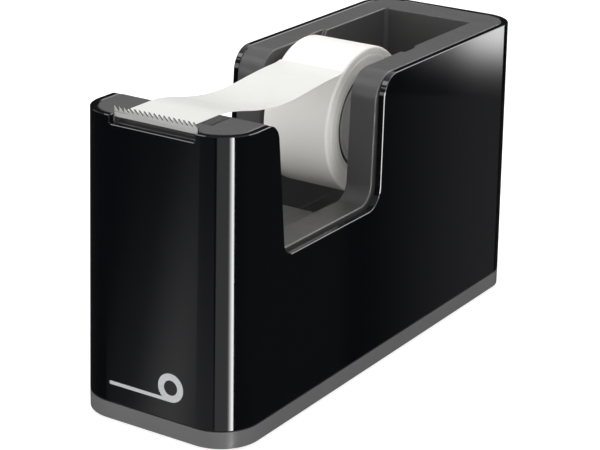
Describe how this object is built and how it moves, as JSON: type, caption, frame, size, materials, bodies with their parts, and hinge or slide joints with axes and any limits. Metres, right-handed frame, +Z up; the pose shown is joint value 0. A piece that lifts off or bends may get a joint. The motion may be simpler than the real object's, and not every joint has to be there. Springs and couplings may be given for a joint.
{
  "type": "desk tape dispenser",
  "caption": "Desk tape dispenser: weighted glossy body with a cut-out in both sides, a serrated cutter at the front and a lift-out tape roll on a hub.",
  "frame": {"origin": "centre of the footprint on the underside of the foot pads", "axes": "+X to the right, +Y to the rear (the cutter is at the -Y end), +Z up"},
  "size_m": [0.0468, 0.139, 0.078],
  "materials": {
    "shell": "high-gloss black",
    "liner": "satin dark grey, fine moulded grain",
    "base": "satin mid grey",
    "steel": "bright stamped steel",
    "ballast": "raw casting",
    "rubber": "matt black",
    "hub": "satin light grey",
    "core": "off-white wound board",
    "tape": "matt white film, fine wound edge"
  },
  "bodies": {
    "housing": {"outer_shell": "shell", "inner_liner": "liner", "base_plate": "base", "ballast_front": "ballast", "ballast_rear": "ballast", "foot_pad_front_left": "rubber", "foot_pad_front_right": "rubber", "foot_pad_rear_left": "rubber", "foot_pad_rear_right": "rubber", "base_screw_front_left": "steel", "base_screw_front_right": "steel", "base_screw_rear_left": "steel", "base_screw_rear_right": "steel", "cutter_blade": "steel"},
    "axle": {"axle_pin": "steel", "axle_spacer_left": "hub", "axle_spacer_right": "hub", "tape_lead": "tape"},
    "roll": {"hub_left": "hub", "hub_right": "hub", "tape_core": "core", "tape_winding": "tape"}
  },
  "joints": [
    {"name": "axle_lift", "type": "slide", "parent": "housing", "child": "axle", "axis": [0, 0.5358, 0.8443], "range_m": [0, 0.046]},
    {"name": "roll_spin", "type": "hinge", "parent": "axle", "child": "roll", "pos_m": [0, 0.0118, 0.0587], "axis": [1, 0, 0], "continuous": true}
  ]
}
